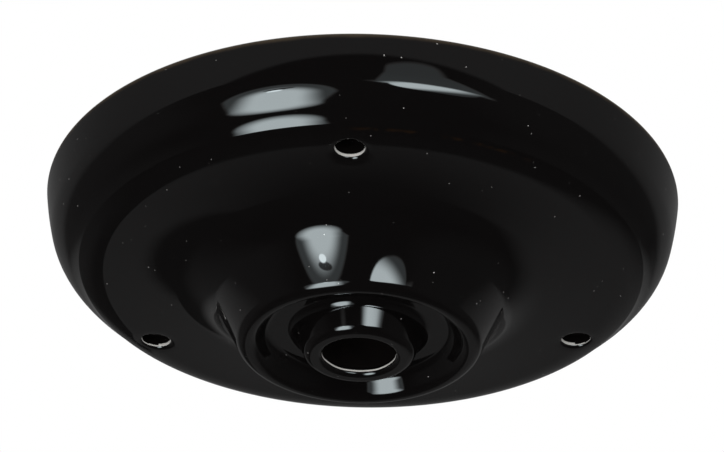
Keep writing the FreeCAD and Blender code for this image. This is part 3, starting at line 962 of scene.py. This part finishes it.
# The left lamp is a long oval diffuser with a bare bulb at its upper end
def leftImage(tree, heading, azimuth, elevation):
    lamp = leftLamp
    top = direction(*lamp["top"])
    run = direction(*lamp["foot"]) - top
    fromTop = vectorNode(tree, "SUBTRACT", heading, top)[0]
    along = vectorNode(tree, "DOT_PRODUCT", fromTop, run)["Value"]
    share = over(tree, along, run.length_squared, clamp=True)
    nearest = addNode(tree, "ShaderNodeVectorMath", {0: run, "Scale": share}, operation="SCALE").outputs[0]
    away = inDegrees(tree, vectorNode(tree, "DISTANCE", fromTop, nearest)["Value"])
    core = smoothRange(tree, away, *lamp["coreFade"], lamp["edge"], lamp["core"])
    level = times(tree, core, fade(tree, plus(tree, away, times(tree, share, lamp["taper"])), lamp["rim"]))
    shadow = spotAt(tree, azimuth, elevation, lamp["shadow"], lamp["shadowSize"])
    level = times(tree, level, smoothRange(tree, shadow, 0.0, 1.0, 1.0, lamp["shadowLevel"]))
    for name in ("bulb", "glint"):
        spot = spotAt(tree, azimuth, elevation, lamp[name], lamp[name + "Size"])
        level = larger(tree, level, times(tree, spot, lamp[name + "Level"]))
    return level


# The right lamp is a shade seen from below: a bright mouth with a dim glow above it
def rightImage(tree, azimuth, elevation):
    return larger(tree, brightMouth(tree, azimuth, elevation), dimGlow(tree, azimuth, elevation))


def brightMouth(tree, azimuth, elevation):
    lamp = rightLamp
    power = lamp["mouthPower"]
    across = mathNode(tree, "ABSOLUTE", minus(tree, azimuth, lamp["mouth"][0]))
    across = over(tree, across, lamp["mouthSize"][0])
    upright = over(tree, minus(tree, lamp["mouth"][1], elevation), lamp["mouthSize"][1])
    upright = larger(tree, upright, 0.0)
    spread = plus(tree, mathNode(tree, "POWER", across, power), mathNode(tree, "POWER", upright, power))
    brim = spotAt(tree, azimuth, elevation, lamp["brim"], lamp["brimSize"])
    mouth = larger(tree, fade(tree, spread, lamp["mouthRim"]), brim)
    rise = minus(tree, elevation, lamp["centre"][1])
    aside = minus(tree, minus(tree, azimuth, lamp["centre"][0]), times(tree, rise, lamp["centreSlant"]))
    wide = over(tree, aside, lamp["centreSize"][0])
    high = over(tree, rise, lamp["centreSize"][1])
    away = mathNode(tree, "SQRT", squareSum(tree, wide, high))
    core = smoothRange(tree, away, *lamp["coreFade"], lamp["edge"], lamp["core"])
    return times(tree, times(tree, mouth, core), fade(tree, elevation, lamp["brimTop"]))


def dimGlow(tree, azimuth, elevation):
    lamp = rightLamp
    rise = plus(tree, elevation, lamp["glowBase"])
    left = fade(tree, minus(tree, azimuth, times(tree, rise, lamp["leftSlant"])), lamp["leftEdge"])
    right = fade(tree, plus(tree, azimuth, times(tree, rise, lamp["rightSlant"])), lamp["rightEdge"])
    aside = minus(tree, azimuth, lamp["crownMiddle"])
    bend = times(tree, times(tree, aside, aside), lamp["crownBend"])
    glow = times(tree, times(tree, left, right), fade(tree, plus(tree, elevation, bend), lamp["crown"]))
    glow = times(tree, glow, fade(tree, elevation, lamp["glowFoot"]))
    level = smoothRange(tree, elevation, *lamp["glowFade"], lamp["glow"] * lamp["glowTop"], lamp["glow"])
    return times(tree, glow, level)


# The far backdrop has a crisp edge on the left, a soft one on the right, and a fade downwards
def backdropImage(tree, x, y, elevation):
    b = backdrop
    aside = inDegrees(tree, mathNode(tree, "ARCTAN2", x, y))
    sheet = times(tree, fade(tree, aside, b["sheetLeft"]), fade(tree, aside, b["sheetRight"]))
    sheet = times(tree, times(tree, sheet, fade(tree, elevation, b["sheetLow"])), b["sheet"])
    left = times(tree, fade(tree, aside, b["leftEdge"]), fade(tree, aside, b["leftEnd"]))
    left = times(tree, times(tree, left, fade(tree, elevation, b["leftLow"])), b["left"])
    low = times(tree, fade(tree, y, b["lowY"]), b["low"])
    side = times(tree, fade(tree, x, b["sideX"]), b["side"])
    return larger(tree, larger(tree, sheet, left), larger(tree, low, side))


# The foot ring lies on a pale table, which is upwards here, and the dark room is below it
def tableImage(tree, y, z):
    lift = times(tree, mathNode(tree, "MINIMUM", y, room["tableFlatY"]), room["tableTilt"])
    soft = smoothRange(tree, y, room["edgeNearY"], room["tableFarY"], room["edgeNear"], room["edgeFar"])
    tilted = over(tree, plus(tree, z, lift), soft)
    table = smoothRange(tree, y, room["tableNearY"], room["tableFarY"], room["tableNear"], room["tableFar"])
    return mixValue(tree, smoothRange(tree, tilted, -1.0, 1.0), room["dark"], table)


def studioWorld():
    world = bpy.data.worlds.new("studio")
    world.use_nodes = True
    bpy.context.scene.world = world
    tree = world.node_tree
    tree.nodes.clear()
    heading = addNode(tree, "ShaderNodeTexCoord").outputs["Generated"]
    turned = addNode(tree, "ShaderNodeVectorRotate", {
        "Vector": heading, "Angle": math.radians(-view["turn"])}, rotation_type="Z_AXIS").outputs[0]
    x, y, z = splitAxes(tree, turned)
    azimuth = inDegrees(tree, mathNode(tree, "ARCTAN2", x, times(tree, y, -1.0)))
    elevation = inDegrees(tree, mathNode(tree, "ARCSINE", z))
    above = smoothRange(tree, elevation, room["overheadFrom"], room["overheadFull"])
    level = tableImage(tree, y, z)
    for image in (backdropImage(tree, x, y, elevation), leftImage(tree, heading, azimuth, elevation),
                  rightImage(tree, azimuth, elevation), times(tree, above, room["overhead"])):
        level = larger(tree, level, image)
    # the camera sees white, mirror rays see the room and all else gets one plain level
    path = addNode(tree, "ShaderNodeLightPath").outputs
    seen = larger(tree, path["Is Camera Ray"], path["Is Transmission Ray"])
    plain = mixValue(tree, path["Is Glossy Ray"], room["diffuseLevel"], level)
    shown = mixValue(tree, seen, plain, 1.0)
    bright = smoothRange(tree, level, room["tintFrom"], room["tintFull"])
    colour = mixColour(tree, times(tree, path["Is Glossy Ray"], bright), (1, 1, 1, 1), room["lampTint"])
    background = addNode(tree, "ShaderNodeBackground", {"Color": colour, "Strength": shown})
    addNode(tree, "ShaderNodeOutputWorld", {"Surface": background.outputs[0]})


# The softboxes light the object plainly; the lamps' mirror images are painted in the world
def softbox(name, box):
    lamp = bpy.data.lights.new(name, "AREA")
    lamp.shape = "RECTANGLE"
    reach = room["lampDistance"]
    lamp.size = 2 * reach * math.tan(math.radians(box["wide"] / 2))
    lamp.size_y = 2 * reach * math.tan(math.radians(box["high"] / 2))
    lamp.energy = box["light"] * math.pi * lamp.size * lamp.size_y
    thing = linkObject(name, lamp)
    away = direction(box["azimuth"], box["elevation"])
    thing.location = away * reach
    thing.rotation_euler = away.to_track_quat("Z", "Y").to_euler()
    thing.visible_glossy = False


def studioFloor():
    mesh = bpy.data.meshes.new("floor")
    sides = room["floorSides"]
    points = circlePoints(room["floorRadius"], count=sides)
    mesh.from_pydata([Vector((x, y, room["floorHeight"])) for x, y in points], [], [tuple(range(sides))])
    floor = linkObject("floor", mesh)
    material, tree = newMaterial("pale_floor")
    paint = addNode(tree, "ShaderNodeBsdfDiffuse", {"Color": room["floorColour"]}).outputs[0]
    clear = addNode(tree, "ShaderNodeBsdfTransparent").outputs[0]
    mirrored = addNode(tree, "ShaderNodeLightPath").outputs["Is Glossy Ray"]
    mixed = addNode(tree, "ShaderNodeMixShader", {0: mirrored, 1: paint, 2: clear})
    finishMaterial(tree, mixed.outputs[0])
    mesh.materials.append(material)


def photoCamera():
    lens = bpy.data.cameras.new("camera")
    camera = linkObject("camera", lens)
    bpy.context.scene.camera = camera
    away = direction(0, -view["elevation"])
    right = Vector((0, 0, 1)).cross(away).normalized()
    rise = away.cross(right)
    roll = Matrix.Rotation(math.radians(-view["roll"]), 3, away)
    turn = Matrix((roll @ right, roll @ rise, away)).transposed()
    across = (view["imageWidth"] / 2 - view["roseX"]) / view["pixelsPerMm"]
    down = (view["imageHeight"] / 2 - view["roseY"]) / view["pixelsPerMm"]
    aim = (roll @ right * across - roll @ rise * down) * mm
    camera.location = aim + away * view["distance"] * mm
    camera.rotation_euler = turn.to_euler()
    lens.sensor_width = view["sensorWidth"]
    lens.lens = view["pixelsPerMm"] * view["distance"] * view["sensorWidth"] / view["imageWidth"]
    lens.clip_end = view["clipEnd"]


print("porcelain body")
body = porcelainBody()
body.data.materials.append(porcelainMaterial())
# the second material paints shade on the holes' deep walls
body.data.materials.append(paintedHoleShade())
usePaintedHoleShade(body.data)

print("inner parts")
brass = metalMaterial("turned_brass")
steel = metalMaterial("plated_steel")
blockFinish = steatiteMaterial()
screwMaker = screwTree()
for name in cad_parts:
    node = bpy.data.objects.get(name)
    kind = screws.get(name[:-2])
    if kind:
        slottedScrew(screwMaker, name, kind, brass if kind["finish"] == "brass" else steel)
    if node and name != "rose_body":
        finish = blockFinish if name == "terminal_block" else brass
        if name.startswith(("wire_screw", "clamp_screw", "clamp_bar")):
            finish = steel
        node.data.materials.clear()
        node.data.materials.append(finish)

print("light, floor and camera")
studioWorld()
softbox("left_softbox", leftLamp)
softbox("right_softbox", rightLamp)
studioFloor()
photoCamera()
bpy.context.scene.view_settings.view_transform = "Standard"
